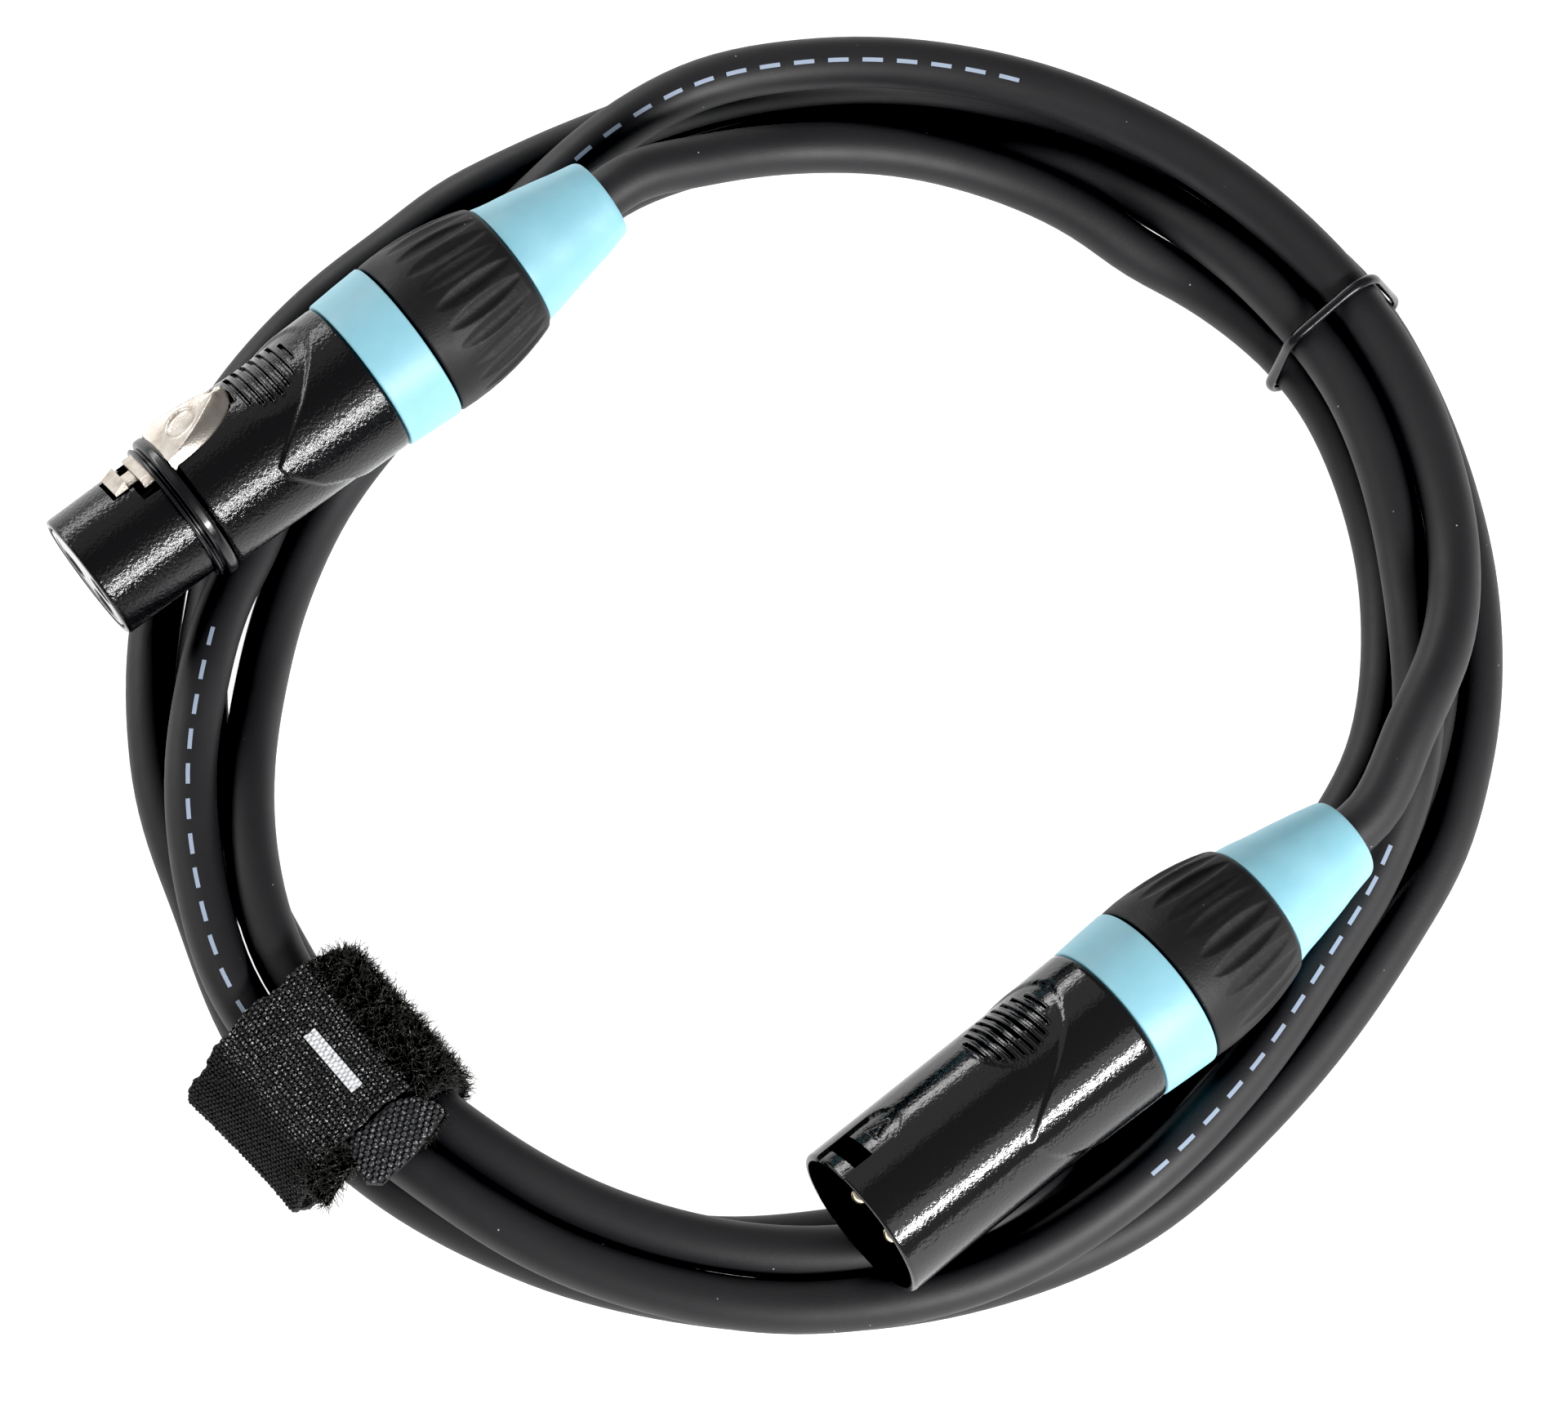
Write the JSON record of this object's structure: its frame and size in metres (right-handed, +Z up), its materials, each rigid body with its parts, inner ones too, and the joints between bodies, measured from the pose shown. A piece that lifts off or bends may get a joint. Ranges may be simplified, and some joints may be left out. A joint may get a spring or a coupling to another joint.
{
  "type": "xlr cable coil",
  "caption": "Coiled two metre microphone cable with a latching female and a male three-pole connector, light blue rings and boots, tied with a hook-and-loop strap.",
  "frame": {"origin": "on the surface that the coil lies on, under the middle of the whole coil with its connectors", "axes": "+Z up out of the surface; +X to the right and +Y away, with the female connector at the upper left and the male one at the lower right of the coil seen from above"},
  "size_m": [0.1666, 0.1558, 0.0309],
  "materials": {
    "cable_jacket": "matte black PVC jacket with a soft sheen",
    "strap_fabric": "black hook-and-loop webbing",
    "seal_rubber": "glossy black rubber",
    "black_shell": "black coated die-cast zinc, satin",
    "insert_plastic": "black moulded insulator",
    "blue_plastic": "light blue soft plastic",
    "soft_black_plastic": "matte black with a soft touch",
    "chuck_plastic": "natural white nylon",
    "satin_nickel": "satin nickel plating",
    "spring_steel": "bright steel wire",
    "contact_metal": "silver plated brass",
    "core_black": "black sleeve over the screen",
    "core_red": "red core insulation",
    "core_white": "white core insulation"
  },
  "bodies": {
    "root": {"bundle_ring": "seal_rubber", "cable": "cable_jacket", "female_chuck": "chuck_plastic", "female_colour_ring": "blue_plastic", "female_contact_1": "contact_metal", "female_contact_2": "contact_metal", "female_contact_3": "contact_metal", "female_core_1": "core_black", "female_core_2": "core_red", "female_core_3": "core_white", "female_insert": "insert_plastic", "female_oring": "seal_rubber", "female_shell": "black_shell", "hook_loop_strap": "strap_fabric", "latch_pin": "spring_steel", "latch_spring": "spring_steel", "male_chuck": "chuck_plastic", "male_colour_ring": "blue_plastic", "male_core_1": "core_black", "male_core_2": "core_red", "male_core_3": "core_white", "male_insert": "insert_plastic", "male_pin_1": "contact_metal", "male_pin_2": "contact_metal", "male_pin_3": "contact_metal", "male_shell": "black_shell"},
    "release_lever": {"latch_lever": "satin_nickel"},
    "female_boot_body": {"female_boot": "blue_plastic"},
    "female_nut_body": {"female_gland_nut": "soft_black_plastic"},
    "male_boot_body": {"male_boot": "blue_plastic"},
    "male_nut_body": {"male_gland_nut": "soft_black_plastic"}
  },
  "joints": [
    {"name": "latch_press", "type": "hinge", "parent": "root", "child": "release_lever", "pos_m": [-0.06029, 0.02524, 0.02376], "axis": [0.4697, -0.6466, 0.6011], "range_deg": [0, 4], "stiffness_Nm_per_rad": 0.2, "springref_deg": -171.89},
    {"name": "female_boot_back_off", "type": "slide", "parent": "root", "child": "female_boot_body", "axis": [0.786, 0.6163, 0.0488], "range_m": [0, 0.002]},
    {"name": "female_nut_turn", "type": "hinge", "parent": "female_boot_body", "child": "female_nut_body", "pos_m": [-0.03721, 0.03951, 0.02108], "axis": [0.786, 0.6163, 0.0488], "range_deg": [0, 720]},
    {"name": "male_boot_back_off", "type": "slide", "parent": "root", "child": "male_boot_body", "axis": [0.7671, 0.6391, -0.0558], "range_m": [0, 0.002]},
    {"name": "male_nut_turn", "type": "hinge", "parent": "male_boot_body", "child": "male_nut_body", "pos_m": [0.04694, -0.03698, 0.01871], "axis": [0.7671, 0.6391, -0.0558], "range_deg": [0, 720]}
  ],
  "couplings": [
    {"joint": "female_nut_turn", "follows": "female_boot_back_off", "rad_per_m": 6283.2},
    {"joint": "male_nut_turn", "follows": "male_boot_back_off", "rad_per_m": 6283.2}
  ]
}
